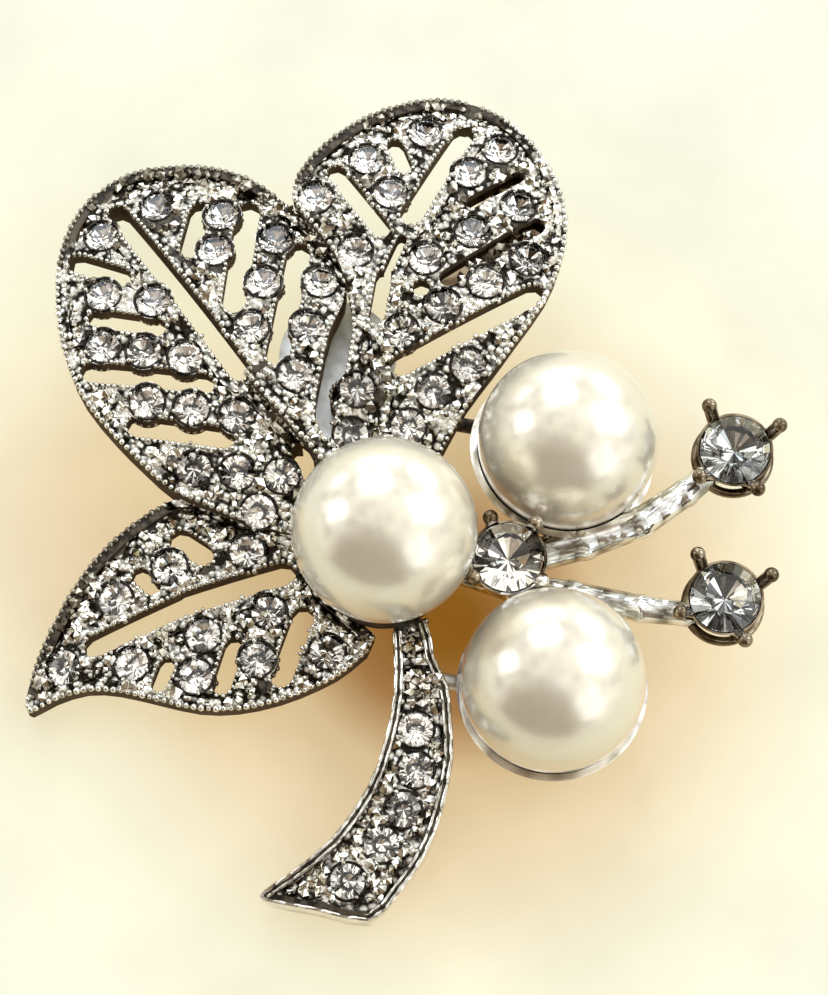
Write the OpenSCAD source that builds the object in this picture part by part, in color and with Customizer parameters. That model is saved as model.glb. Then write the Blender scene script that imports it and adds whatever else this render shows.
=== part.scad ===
// Leaf brooch: three pierced leaves and a stem set with small stones, three pearls in cups,
// three larger stones in claws and a pin across the back. Millimetres. It lies on its back on
// z = 0, with the stem towards -y and the two buds towards +x.

/* [Leaves] */
// Radius of the dome that each half leaf is cut from
dome_r = 45; // [42:1:50]
// Thickness of the pierced leaf plate
plate_t = 1.35; // [1.3:0.05:1.5]
// Width of the raised border round each half leaf
border_w = 0.7; // [0.6:0.05:0.8]
// Height of the border above the plate
border_h = 0.25; // [0.15:0.05:0.35]

/* [Small stones] */
// Diameter of a small stone at its girdle
pave_d = 2.3; // [2.2:0.05:2.35]
// Height of a small stone's crown above its girdle
pave_crown = 0.5; // [0.4:0.05:0.6]
// Depth of a small stone below its girdle
pave_deep = 0.9; // [0.7:0.05:1]
// Gap all round a stone in its seat
seat_gap = 0.05; // [0.03:0.01:0.06]
// Wall of the seat round a small stone
seat_wall = 0.18; // [0.17:0.01:0.2]

/* [Pearls] */
// Diameter of a pearl
pearl_d = 12; // [11.8:0.1:12]
// Gap between a pearl and its cup
pearl_gap = 0.1; // [0.05:0.05:0.15]
// Wall of a pearl cup
cup_wall = 0.45; // [0.4:0.05:0.55]
// Height of the middle pearl's centre
pearl_high = 10.9; // [10.8:0.1:11.2]
// Height of the two right-hand pearls' centres
pearl_low = 6.6; // [6.6:0.1:7]

/* [Claw stones] */
// Diameter of a claw-set stone
claw_stone_d = 4.7; // [4.5:0.1:4.7]
// Diameter of a claw at its root
claw_d = 0.85; // [0.75:0.05:0.9]
// Diameter of the ball at a claw's tip
claw_ball_d = 0.95; // [0.85:0.05:1.1]
// How far the claws of a bud lean out beyond its stone
bud_reach = 0.9; // [0.7:0.05:1]

/* [Stem and stalks] */
// Radius of the dome that the stem is cut from
stem_r = 60; // [56:1:66]
// Thickness of the stem's floor
stem_t = 1.4; // [1.3:0.1:1.6]
// Width of the stem's side rails
rail_w = 0.55; // [0.5:0.05:0.7]
// Height of the rails above the stem's floor
rail_h = 0.6; // [0.4:0.1:0.7]
// Diameter of a stalk where it leaves the middle
stalk_d = 2.3; // [2.1:0.1:2.4]

/* [Pin back] */
// Width of the bar
bar_w = 3.2; // [3:0.1:3.3]
// Thickness of the bar
bar_t = 0.7; // [0.6:0.05:0.75]
// Diameter of the needle
needle_d = 0.8; // [0.7:0.05:0.9]

/* [Hidden] */

X = 0;
Y = 1;
Z = 2;
seg_dome = 160;
seg_round = 48;
silver = [0.78, 0.77, 0.74];
steel = [0.66, 0.67, 0.69];
nacre = [0.97, 0.93, 0.86];
clear_stone = [0.86, 0.90, 0.95];
smoke_stone = [0.55, 0.58, 0.62];

// Each half leaf's dome: x and y of its apex, height of its top there
dome_left_outer = [-18, 9, 6.4];
dome_left_inner = [-11.5, 10, 7];
dome_top_left = [-4.7, 16.8, 7];
dome_top_right = [2.9, 14.2, 7];
dome_low_upper = [-14, -4, 4.1];
dome_low_lower = [-12, -9, 4.1];
dome_stem = [1, -13, 4.8];

// Depth of each leaf's border below the dome
deep_left = 2.2;
deep_top = 1.3;
deep_low = 1.3;

// Outlines, x and y, smoothed by a curve through the points
left_outline = [[-20, 23.5], [-22, 22], [-23.5, 19.5], [-24.2, 16], [-24, 12.5], [-23.3, 9.3],
    [-22, 6.5], [-20, 4], [-18, 2], [-16, 0.3], [-14, -0.5], [-11.5, -1.5], [-8.5, -2.2],
    [-5.6, -2.2], [-3.8, -0.6], [-4.8, 2.4], [-6.6, 4.8], [-6.3, 8], [-5.6, 11.3], [-4.7, 13.4],
    [-4.7, 15.5], [-6, 18], [-8.8, 20.8], [-11.5, 23], [-14.8, 24], [-18, 24]];
top_outline = [[-5.8, 17.4], [-7.2, 19.2], [-8.2, 20.8], [-7.8, 22.8], [-6.3, 24.8], [-4.4, 26.5],
    [-2, 27.9], [1, 28.9], [3.7, 28.8], [6.3, 27.5], [8.3, 25.3], [9.8, 22.4], [10.4, 19.2],
    [9.9, 16.2], [8.8, 13.4], [7, 10.7], [5.3, 8.3], [3.5, 5.9], [2.2, 3.6], [0.6, 1.6],
    [-3.5, 1.4], [-5.6, 3], [-5, 6.5], [-4.1, 11], [-4.4, 13.8], [-4.9, 15.6]];
low_outline = [[-25.6, -13.4], [-25.4, -12.2], [-24.7, -10], [-23.3, -7.1], [-21.5, -4.3],
    [-19.5, -2.2], [-17.5, -0.7], [-15.5, 0.3], [-12.3, 0.3], [-8, -1], [-6, -3.5], [-5.6, -6.5],
    [-2.6, -9], [-4.2, -11.2], [-6.2, -12.5], [-8.8, -13.6], [-11.5, -14.2], [-14, -14.2],
    [-16.6, -13.6], [-19.3, -12.9], [-21.5, -12.7], [-23.6, -13.2], [-25.2, -13.9]];
stem_outline = [[-1.2, -8.5], [-1.3, -10.5], [-1.3, -13.5], [-1.9, -16.6], [-3, -19.6],
    [-5.3, -22.8], [-8, -24.9], [-9.7, -26], [-9.5, -26.6], [-6.2, -27.3], [-2.8, -28],
    [-0.9, -26.2], [0.8, -23.8], [1.8, -21.2], [2.5, -17.8], [2.4, -15], [2.2, -13],
    [1.3, -11], [0.8, -8.5]];

// Midrib of each leaf, from beyond the tip to the middle of the brooch
left_midrib = [[-23.5, 24.7], [-20.3, 20.3], [-11.6, 8.4], [-6.2, 2.3], [-3, -4]];
top_midrib = [[4.5, 31], [3.5, 26.2], [-0.6, 18.4], [-2.2, 13], [-2.4, -1]];
low_midrib = [[-28, -13.5], [-21.4, -10.2], [-15, -7.2], [-8.6, -5], [-3, -4]];

// Gaps cut through a leaf: both ends of its centre line, width. The midrib's come first.
left_mid_cuts = 1;
left_cuts = [
    [-20.3, 20.3, -11.7, 8.5, 1.5],
    [-22.8, 16.5, -19.8, 15.4, 1.5],
    [-21.3, 12.3, -17.3, 11.6, 1.4],
    [-21.6, 8.4, -14, 7.6, 1.5],
    [-18.4, 4.6, -12.6, 3.9, 1.5],
    [-14.6, 20.3, -15.2, 17.3, 1.5],
    [-11.3, 20.2, -12.1, 13.2, 1.7],
    [-7.8, 17, -9.1, 9.4, 1.65],
    [-7.6, 3.1, -6.9, 1.9, 1.3]];
top_mid_cuts = 3;
top_cuts = [
    [3.4, 26, -0.2, 19.5, 1.6],
    [-0.8, 17.7, -1.7, 15.6, 0.7],
    [-2, 15, -2.5, 12.1, 1.1],
    [-5.3, 22.7, -2.2, 18.5, 1.4],
    [-1.3, 25, -0.7, 23.4, 1.2],
    [8, 13.7, -0.9, 8.8, 1.6],
    [0.45, 14.2, 0.55, 14.2, 1.2]];
// Grooves of the top leaf's right half, which don't go through
top_grooves = [
    [7.1, 22.7, 3.9, 20.6, 0.9],
    [8.3, 18.9, 2.3, 14.9, 1.3]];
low_mid_cuts = 2;
low_cuts = [
    [-21, -9.8, -15, -7.1, 1.55],
    [-15, -7.1, -8.6, -5, 1.7],
    [-15.5, -2.7, -14, -3.7, 1.6],
    [-18.1, -5.1, -17.3, -5.9, 1.2],
    [-16.7, -12.5, -16.2, -11.2, 1.1],
    [-12.6, -12.6, -11.8, -10, 1.3],
    [-8.7, -12, -7.3, -7.9, 1.5]];

// Rows of small stones: first stone's x and y, last stone's x and y, number of stones
left_outer_rows = [
    [-21.3, 18.7, -21.3, 18.7, 1],
    [-21, 14.1, -17.6, 13.6, 2],
    [-20.9, 10.3, -15.3, 9.5, 3],
    [-17.8, 6.3, -11.8, 5.5, 3],
    [-14.6, 1.8, -8.8, 1.6, 3],
    [-10.3, -0.85, -10.3, -0.85, 1]];
left_inner_rows = [
    [-17.6, 20.9, -17.6, 20.9, 1],
    [-13.1, 20, -13.5, 17.2, 2],
    [-9.4, 18.1, -10.9, 11.4, 3],
    [-6.3, 14.9, -7.9, 8.1, 3]];
top_left_rows = [
    [-6.7, 20.9, -4, 16.9, 2],
    [-3.2, 23.9, -1.6, 21.3, 2],
    [0.8, 26.2, 0.8, 26.2, 1],
    [-3.8, 7.3, -4.2, 4.3, 2]];
top_right_rows = [
    [5.9, 25, 3.8, 23, 2],
    [7.1, 20.4, 0.8, 16.4, 3],
    [7.7, 16.4, -0.9, 11.2, 4],
    [3.65, 8.75, 1.3, 7, 2],
    [-0.4, 4.7, -0.4, 4.7, 1]];
low_upper_rows = [
    [-11.1, -3.4, -11.1, -3.4, 1],
    [-16.2, -4.5, -19.8, -6.6, 2],
    [-23.2, -11, -23.2, -11, 1]];
low_lower_rows = [
    [-18.6, -11, -13.9, -9.15, 2],
    [-14.35, -11.95, -14.35, -11.95, 1],
    [-10.3, -10.8, -9.6, -7.5, 2],
    [-5.7, -10.2, -5.7, -10.2, 1]];
stem_rows = [
    [0.1, -15.7, 0.1, -18.35, 2],
    [-0.7, -20.9, -0.7, -20.9, 1],
    [-2.1, -23.1, -2.1, -23.1, 1],
    [-4.3, -25.4, -4.3, -25.4, 1]];

// Places of the pearls and the claw-set stones: x, y, height
middle_pearl = [-1.9, -4.1, pearl_high];
upper_pearl = [10.2, 3.5, pearl_low];
lower_pearl = [9, -12.9, pearl_low];
middle_stone = [6.15, -4.8, 7.2];
upper_bud = [21.2, 2.7, 7];
lower_bud = [20.3, -7.3, 6.4];

// Bends of each stalk: x, y, height, diameter
upper_stalk = [
    [3, -4.2, 3.9, 0.95 * stalk_d],
    [8.3, -3.6, 3.9, stalk_d],
    [11.3, -2.9, 4.3, stalk_d],
    [15, -1.7, 4.8, 0.9 * stalk_d],
    [18, 0.3, 5, 0.8 * stalk_d],
    [20.6, 2.4, 5.1, 0.7 * stalk_d]];
lower_stalk = [
    [3, -4.6, 3.9, 0.9 * stalk_d],
    [6.5, -5.9, 3.9, 0.85 * stalk_d],
    [10.3, -6.5, 4.1, 0.85 * stalk_d],
    [14.9, -7.5, 4.4, 0.8 * stalk_d],
    [18, -7.9, 4.5, 0.7 * stalk_d],
    [19.8, -7.5, 4.5, 0.65 * stalk_d]];

// Webs that tie the right-hand cups to the top leaf and to the stem: x, y, height, diameter
upper_web = [[2.6, 5.2, 5, 1], [4.6, 5.2, 4, 1]];
lower_web = [[1, -12.1, 4, 1.1], [4.2, -12.6, 3.4, 1.1]];

// Bars of the ladder at the stem's top: x of their middle, y of the first, y of the last, step
ladder = [0.3, -10.2, -13.6, 1.1];
ladder_bar = [4, 0.45, 0.8];

// Angles of the claws round a stone
middle_claws = [50, 115, 215, 320];
upper_claws = [26, 121, 221, 294];
lower_claws = [24, 123, 202, 290];

// Foot of each claw setting: radius, height
middle_foot = [1.7, 3.5];
upper_foot = [1.4, 4.4];
lower_foot = [1.4, 3.8];

// Rivets: distance along the bar, height of the top
rivets = [[7, 4.8], [16.8, 3.8]];

pearl_r = pearl_d / 2;
cup_in = pearl_r + pearl_gap;
cup_out = cup_in + cup_wall;
cup_drop = 2;
middle_cup_drop = 4.4;
cup_lean = 12;
cup_lean_turn = 40;
cup_foot_r = 1.6;
cup_foot_h = 0.8;
seat_in = pave_d / 2 + seat_gap;
seat_out = seat_in + seat_wall;
seat_floor = 1.05;
seat_up = 1.5;
groove_deep = 0.8;
stone_drop = 0.05;
girdle_share = 0.05;
table_share = 0.29;
claw_crown_share = 0.2;
claw_deep_share = 0.36;
claw_stone_r = claw_stone_d / 2;
collet_r = claw_stone_r + 0.2;
collet_drop = 0.1;
claw_root_in = 0.5;
claw_root_drop = 1.3;
claw_rise = 0.7;
middle_reach = 0.4;
room_r = claw_stone_r + seat_gap;
room_drop = 0.3;
hollow_r = 0.9;
hollow_drop = 1.95;
overlap = 0.01;
hub = [-2, -4.2];
hub_r = 4.4;
hub_low = 3.4;
hub_high = 4.8;
neck = [-1.5, 0.4];
neck_r = 3.2;
neck_high = 4.6;
bar_top = 2.6;
bar_low = bar_top - bar_t;
bar_end_a = [-6, 14];
bar_end_b = [-0.5, -7.6];
bar_length = norm(bar_end_b - bar_end_a);
bar_way = (bar_end_b - bar_end_a) / bar_length;
bar_turn = atan2(bar_way[Y], bar_way[X]);
pad_at = 3.2;
pad_r = 4;
pad_w = 5;
pad_from = 1;
pad_length = 10;
bite = 0.2;
hinge_length = 1.8;
hinge_w = 3;
needle_from = 0.9;
needle_short = 1.4;
needle_z = 0.6;
catch_back = 2.4;
catch_length = 1.6;
catch_side = 1.25;
catch_w = 2.3;
catch_wall = 0.6;
catch_floor = 0.4;
lip_at = 0.65;
lip_w = 0.5;
lip_h = 0.9;
rivet_r = 0.8;
rivet_head_r = 1.4;
rivet_head_h = 0.5;
rivet_gap = 0.1;
rivet_sink = 0.4;
top_of_work = 12;
sheet_size = 60;
knuckle = 1.08;
middle_shift = [0.485, -0.495, 0];

// A point on a smooth curve between b and c, with neighbours a and d
function bend(a, b, c, d, t) =
    0.5 * (2 * b + (c - a) * t + (2 * a - 5 * b + 4 * c - d) * t * t
    + (3 * b - a - 3 * c + d) * t * t * t);

// A closed outline smoothed through its points
function smooth_loop(p, steps = 2) =
    let (n = len(p))
    [for (i = [0:n - 1], k = [0:steps - 1])
        bend(p[(i + n - 1) % n], p[i], p[(i + 1) % n], p[(i + 2) % n], k / steps)];

// Half a circle round a point, from an angle on
function half_round(p, r, from, steps = 4) =
    [for (k = [0:steps])
        let (turn = from + 180 * k / steps)
        p + r * [cos(turn), sin(turn)]];

// A slot with round ends along a line from a to b
function slot_points(a, b, w) =
    let (turn = atan2(b[Y] - a[Y], b[X] - a[X]))
    concat(half_round(b, w / 2, turn - 90), half_round(a, w / 2, turn + 90));

// Height of a dome's surface over a point
function dome_height(dome, r, x, y) =
    dome[Z] - r + sqrt(r * r - pow(x - dome[X], 2) - pow(y - dome[Y], 2));

// The stones of a table of rows, as points
function stones_of(rows) =
    [for (row = rows, k = [0:row[4] - 1])
        let (t = row[4] == 1 ? 0 : k / (row[4] - 1))
        [row[0] + t * (row[2] - row[0]), row[1] + t * (row[3] - row[1])]];

// Moves a whole node so that the brooch lies centred on the origin
module centred() {
    translate(middle_shift)
        children();
}

// Places its children on a dome, upright to its surface
module on_dome(dome, r, x, y) {
    lean = asin(norm([x - dome[X], y - dome[Y]]) / r);
    translate([x, y, dome_height(dome, r, x, y)])
        rotate([0, lean, atan2(y - dome[Y], x - dome[X])])
            children();
}

// A ball whose poles lie level, so that its top is smooth
module dome_ball(dome, r, size) {
    translate([dome[X], dome[Y], dome[Z] - r])
        rotate([90, 0, 0])
            sphere(size, $fn = seg_dome);
}

// The layer of a dome from up above its surface to down below it, over a flat shape
module dome_layer(dome, r, up, down) {
    intersection() {
        difference() {
            dome_ball(dome, r, r + up);
            dome_ball(dome, r, r - down);
        }
        linear_extrude(top_of_work)
            children();
    }
}

module cuts(table) {
    for (cut = table)
        polygon(slot_points([cut[0], cut[1]], [cut[2], cut[3]], cut[4]));
}

// Round lands for the seats of a table of rows
module lands(rows) {
    for (p = stones_of(rows))
        translate(p)
            circle(seat_out, $fn = seg_round);
}

// Holes of the seats, each down to a flat floor
module seat_holes(dome, r, rows) {
    for (p = stones_of(rows))
        translate([p[X], p[Y], dome_height(dome, r, p[X], p[Y]) - seat_floor])
            cylinder(h = seat_floor + seat_up, r = seat_in, $fn = seg_round);
}

// The flat shape of a leaf on one side of its midrib
module leaf_side(outline, midrib, far) {
    intersection() {
        polygon(smooth_loop(outline));
        polygon(concat(midrib, far));
    }
}

// One half of a leaf over its flat shape: a thick dome, hollowed above and below inside
// its border, with gaps cut through between the seats
module half_leaf(dome, deep, table, mid_cuts, rows) {
    difference() {
        dome_layer(dome, dome_r, border_h, deep)
            difference() {
                children();
                difference() {
                    cuts(table);
                    lands(rows);
                }
            }
        difference() {
            linear_extrude(top_of_work)
                offset(delta = -border_w)
                    difference() {
                        children();
                        cuts([for (i = [0:mid_cuts - 1]) table[i]]);
                    }
            dome_layer(dome, dome_r, 0, plate_t)
                square(sheet_size, center = true);
        }
    }
}

// A cut stone: table, crown, girdle and pavilion, with its girdle on z = 0
module cut_stone(d, crown, deep, sides) {
    girdle = girdle_share * d;
    rotate_extrude($fn = sides)
        polygon([[0, -deep], [d / 2, -girdle], [d / 2, 0], [table_share * d, crown], [0, crown]]);
}

module field(dome, r, rows) {
    for (p = stones_of(rows))
        on_dome(dome, r, p[X], p[Y])
            translate([0, 0, -stone_drop])
                cut_stone(pave_d, pave_crown, pave_deep, 8);
}

module left_leaf() {
    half_leaf(dome_left_outer, deep_left, left_cuts, left_mid_cuts, left_outer_rows)
        leaf_side(left_outline, left_midrib, [[-30, -10], [-30, 24.7]]);
    half_leaf(dome_left_inner, deep_left, left_cuts, left_mid_cuts, left_inner_rows)
        leaf_side(left_outline, left_midrib, [[0, -3], [0, 30], [-23.5, 30]]);
}

module top_leaf() {
    half_leaf(dome_top_left, deep_top, top_cuts, top_mid_cuts, top_left_rows)
        leaf_side(top_outline, top_midrib, [[-12, -1], [-12, 31]]);
    difference() {
        half_leaf(dome_top_right, deep_top, top_cuts, top_mid_cuts, top_right_rows)
            leaf_side(top_outline, top_midrib, [[14, -1], [14, 31]]);
        difference() {
            linear_extrude(top_of_work)
                difference() {
                    cuts(top_grooves);
                    lands(top_right_rows);
                }
            dome_ball(dome_top_right, dome_r, dome_r - groove_deep);
        }
    }
}

module low_leaf() {
    half_leaf(dome_low_upper, deep_low, low_cuts, low_mid_cuts, low_upper_rows)
        leaf_side(low_outline, low_midrib, [[-3, 4], [-28, 4]]);
    half_leaf(dome_low_lower, deep_low, low_cuts, low_mid_cuts, low_lower_rows)
        leaf_side(low_outline, low_midrib, [[-2, -17], [-28, -17]]);
}

// The stem: a channel between rails, with a ladder of bars from rail to rail at its top
module stem() {
    difference() {
        dome_layer(dome_stem, stem_r, rail_h, stem_t)
            polygon(smooth_loop(stem_outline));
        difference() {
            linear_extrude(top_of_work)
                offset(delta = -rail_w)
                    polygon(smooth_loop(stem_outline));
            dome_ball(dome_stem, stem_r, stem_r);
        }
    }
    intersection() {
        linear_extrude(top_of_work)
            offset(delta = -rail_w / 2)
                polygon(smooth_loop(stem_outline));
        for (y = [ladder[1]:-ladder[3]:ladder[2]])
            translate([ladder[0], y, dome_height(dome_stem, stem_r, ladder[0], y)])
                cube(ladder_bar, center = true);
    }
}

// The way from one point of a rod to another
function way(a, b) = [b[X] - a[X], b[Y] - a[Y], b[Z] - a[Z]];

// Places its children at a point, turned so that their z runs along a direction
module along(p, d) {
    translate([p[X], p[Y], p[Z]])
        rotate([0, acos(d[Z] / norm(d)), atan2(d[Y], d[X])])
            children();
}

module taper(a, b) {
    along(a, way(a, b))
        cylinder(h = norm(way(a, b)), d1 = a[3], d2 = b[3], $fn = 24);
}

// A ball a little larger than the rod that it ends or joins
module knob(p, d) {
    along(p, d)
        rotate([0, 0, 35])
            sphere(d = knuckle * p[3], $fn = 24);
}

// A tapered rod with a ball at each end
module rod(a, b) {
    taper(a, b);
    knob(a, way(a, b));
    knob(b, way(a, b));
}

module stalk(table) {
    last = len(table) - 1;
    for (i = [0:last - 1])
        taper(table[i], table[i + 1]);
    for (i = [0:last])
        knob(table[i], way(table[max(i - 1, 0)], table[min(i + 1, last)]));
}

// The cup under a pearl, up to drop below the pearl's centre, leaning towards an angle
module cup(p, drop, lean = 0, towards = 0) {
    translate(p)
        rotate([0, 0, towards])
            rotate([0, lean, 0])
                intersection() {
                    rotate([90, 0, 0])
                        sphere(cup_out, $fn = 96);
                    translate([0, 0, -cup_out - drop])
                        cylinder(h = cup_out, r = cup_out + 1, $fn = seg_round);
                }
}

// A foot under a right-hand cup, which stands on the surface that the brooch lies on
module cup_foot(p) {
    translate([p[X], p[Y], 0])
        cylinder(h = cup_foot_h, r = cup_foot_r, $fn = seg_round);
}

// A collet on its foot, with claws that reach out beyond the stone
module claw_setting(p, foot, reach, angles) {
    rim = p[Z] - collet_drop;
    root = collet_r - claw_root_in;
    tip = claw_stone_r + reach;
    translate([p[X], p[Y], foot[1]])
        cylinder(h = rim - foot[1], r1 = foot[0], r2 = collet_r, $fn = seg_round);
    for (turn = angles)
        rod([p[X] + root * cos(turn), p[Y] + root * sin(turn), p[Z] - claw_root_drop, claw_d],
            [p[X] + tip * cos(turn), p[Y] + tip * sin(turn), p[Z] + claw_rise, claw_ball_d]);
}

// The hollow under a claw-set stone, and the room for the stone itself
module claw_stone_room(p) {
    translate([p[X], p[Y], p[Z] - hollow_drop])
        cylinder(h = hollow_drop - room_drop + overlap, r1 = hollow_r, r2 = room_r, $fn = seg_round);
    translate([p[X], p[Y], p[Z] - room_drop])
        cylinder(h = top_of_work, r = room_r, $fn = seg_round);
}

// A rivet under the brooch that holds the bar between two heads
module rivet(at, top) {
    p = bar_end_a + at * bar_way;
    translate([p[X], p[Y], bar_low - rivet_gap - rivet_head_h])
        cylinder(h = rivet_head_h, r = rivet_head_r, $fn = seg_round);
    translate([p[X], p[Y], bar_low - rivet_gap - rivet_sink])
        cylinder(h = top - bar_low + rivet_gap + rivet_sink, r = rivet_r, $fn = seg_round);
    translate([p[X], p[Y], bar_top + rivet_gap])
        cylinder(h = top - bar_top - rivet_gap, r = rivet_head_r, $fn = seg_round);
}

// All the metal before the pearls and stones have their room
module soldered_metal() {
    left_leaf();
    top_leaf();
    low_leaf();
    stem();
    translate([hub[X], hub[Y], hub_low])
        cylinder(h = hub_high - hub_low, r = hub_r, $fn = seg_round);
    translate([neck[X], neck[Y], hub_low])
        cylinder(h = neck_high - hub_low, r = neck_r, $fn = seg_round);
    stalk(upper_stalk);
    stalk(lower_stalk);
    rod(upper_web[0], upper_web[1]);
    rod(lower_web[0], lower_web[1]);
    cup(middle_pearl, middle_cup_drop);
    cup(upper_pearl, cup_drop, cup_lean, cup_lean_turn);
    cup(lower_pearl, cup_drop);
    cup_foot(upper_pearl);
    cup_foot(lower_pearl);
    claw_setting(middle_stone, middle_foot, middle_reach, middle_claws);
    claw_setting(upper_bud, upper_foot, bud_reach, upper_claws);
    claw_setting(lower_bud, lower_foot, bud_reach, lower_claws);
    for (row = rivets)
        rivet(row[0], row[1]);
}

// Leaves, stem, stalks, cups, claw settings and rivets, with the room for what is set in them
module leaf_spray() {
    color(silver)
        centred()
            difference() {
                union()
                    soldered_metal();
                for (p = [middle_pearl, upper_pearl, lower_pearl])
                    translate(p)
                        sphere(cup_in, $fn = 96);
                for (p = [middle_stone, upper_bud, lower_bud])
                    claw_stone_room(p);
                seat_holes(dome_left_outer, dome_r, left_outer_rows);
                seat_holes(dome_left_inner, dome_r, left_inner_rows);
                seat_holes(dome_top_left, dome_r, top_left_rows);
                seat_holes(dome_top_right, dome_r, top_right_rows);
                seat_holes(dome_low_upper, dome_r, low_upper_rows);
                seat_holes(dome_low_lower, dome_r, low_lower_rows);
                seat_holes(dome_stem, stem_r, stem_rows);
            }
}

// The flat bar with its round pad, drilled for the rivets
module bar() {
    difference() {
        union() {
            translate([0, -bar_w / 2, bar_low])
                cube([bar_length, bar_w, bar_t]);
            translate([pad_from, -pad_w / 2, bar_low])
                cube([pad_length - pad_from, pad_w, bar_t]);
            translate([pad_at, 0, bar_low])
                cylinder(h = bar_t, r = pad_r, $fn = seg_round);
        }
        for (row = rivets)
            translate([row[0], 0, 0])
                cylinder(h = bar_top + 1, r = rivet_r + rivet_gap, $fn = seg_round);
    }
}

// The block that the needle turns in, and the closed needle
module hinge_and_needle() {
    translate([0, -hinge_w / 2, 0])
        cube([hinge_length, hinge_w, bar_low + bite]);
    translate([needle_from, 0, needle_z])
        rotate([0, 90, 0])
            cylinder(h = bar_length - needle_short, d = needle_d, $fn = seg_round);
}

// The catch: a wall from the bar, a floor under the needle and a low lip beyond it
module catch() {
    translate([bar_length - catch_back, -catch_side, 0]) {
        cube([catch_length, catch_wall, bar_low + bite]);
        cube([catch_length, catch_w, catch_floor]);
    }
    translate([bar_length - catch_back, lip_at, 0])
        cube([catch_length, lip_w, lip_h]);
}

// The bar across the back with its hinge block, closed needle and catch, in one piece
module pin_back() {
    color(steel)
        centred()
            translate([bar_end_a[X], bar_end_a[Y], 0])
                rotate([0, 0, bar_turn]) {
                    bar();
                    hinge_and_needle();
                    catch();
                }
}

module pearl(p) {
    color(nacre)
        centred()
            translate(p)
                sphere(pearl_r, $fn = 96);
}

module claw_stone(p, tint) {
    color(tint)
        centred()
            translate(p)
                cut_stone(claw_stone_d, claw_crown_share * claw_stone_d,
                    claw_deep_share * claw_stone_d, 12);
}

module pearl_middle() { pearl(middle_pearl); }
module pearl_upper() { pearl(upper_pearl); }
module pearl_lower() { pearl(lower_pearl); }
module stone_middle() { claw_stone(middle_stone, clear_stone); }
module bud_stone_upper() { claw_stone(upper_bud, smoke_stone); }
module bud_stone_lower() { claw_stone(lower_bud, smoke_stone); }

module pave_left_leaf() {
    color(clear_stone)
        centred() {
            field(dome_left_outer, dome_r, left_outer_rows);
            field(dome_left_inner, dome_r, left_inner_rows);
        }
}

module pave_top_leaf() {
    color(clear_stone)
        centred() {
            field(dome_top_left, dome_r, top_left_rows);
            field(dome_top_right, dome_r, top_right_rows);
        }
}

module pave_low_leaf() {
    color(clear_stone)
        centred() {
            field(dome_low_upper, dome_r, low_upper_rows);
            field(dome_low_lower, dome_r, low_lower_rows);
        }
}

module pave_stem() {
    color(clear_stone)
        centred()
            field(dome_stem, stem_r, stem_rows);
}

leaf_spray();
pin_back();
pearl_middle();
pearl_upper();
pearl_lower();
stone_middle();
bud_stone_upper();
bud_stone_lower();
pave_left_leaf();
pave_top_leaf();
pave_low_leaf();
pave_stem();
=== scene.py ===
# %% [markdown]
# # A leaf brooch with pearls and cut stones
# The real brooch is a plated casting: three pierced leaves and a stem, set with small foiled
# stones, three round pearls glued in shallow cups, and three larger stones in claws. Its solids
# come from the frame, in metres, and everything made here is placed by them.

# %% Load the fixed frame
import math
import random

import bmesh
import bpy
from mathutils import Matrix, Vector, noise
from mathutils.bvhtree import BVHTree
from mathutils.kdtree import KDTree


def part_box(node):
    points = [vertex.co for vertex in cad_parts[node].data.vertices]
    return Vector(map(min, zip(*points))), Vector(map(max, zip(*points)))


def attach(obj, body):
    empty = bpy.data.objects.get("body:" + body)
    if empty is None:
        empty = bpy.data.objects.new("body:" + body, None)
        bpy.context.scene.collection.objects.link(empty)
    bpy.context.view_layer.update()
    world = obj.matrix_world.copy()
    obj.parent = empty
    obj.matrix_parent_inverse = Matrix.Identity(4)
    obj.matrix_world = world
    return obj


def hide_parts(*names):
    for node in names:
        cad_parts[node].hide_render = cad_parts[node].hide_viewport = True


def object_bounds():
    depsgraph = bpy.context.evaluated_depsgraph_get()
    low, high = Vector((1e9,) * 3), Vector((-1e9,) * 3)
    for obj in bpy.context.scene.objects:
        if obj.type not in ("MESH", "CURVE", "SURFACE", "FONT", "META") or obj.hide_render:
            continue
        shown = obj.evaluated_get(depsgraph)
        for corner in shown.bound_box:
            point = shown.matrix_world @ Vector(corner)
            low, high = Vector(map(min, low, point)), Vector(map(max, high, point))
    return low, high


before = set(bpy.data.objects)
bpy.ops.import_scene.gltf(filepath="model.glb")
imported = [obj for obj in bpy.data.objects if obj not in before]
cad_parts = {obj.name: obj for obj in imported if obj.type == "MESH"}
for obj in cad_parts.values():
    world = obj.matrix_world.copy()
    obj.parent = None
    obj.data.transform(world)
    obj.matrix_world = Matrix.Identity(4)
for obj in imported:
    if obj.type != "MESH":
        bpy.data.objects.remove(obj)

MM = 0.001
cad_box = [list(corner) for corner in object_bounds()]
print("the CAD box in mm:", [[round(v / MM, 1) for v in corner] for corner in cad_box])


def new_object(name, data):
    obj = bpy.data.objects.new(name, data)
    bpy.context.scene.collection.objects.link(obj)
    return obj

# %% [markdown]
# ## The camera
# The picture looks down on the brooch from 72 degrees above the floor. The camera is placed by
# that angle, and its lens follows from how large the 12 mm pearls come out in a picture of 828
# by 995 pixels. The middle pearl is the heart of the brooch, and places are given from it.

# %% Camera
LIFT = math.radians(72)
DISTANCE = 0.2
PICTURE_HEIGHT = 995
PIXELS_PER_RADIAN = 3013
SENSOR = 36
low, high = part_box("pearl_middle")
heart = (Vector(low) + Vector(high)) / 2
AIM = heart + Vector((1.9, 4.1, -5.9)) * MM
TO_CAMERA = Vector((0, -math.cos(LIFT), math.sin(LIFT)))

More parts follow.
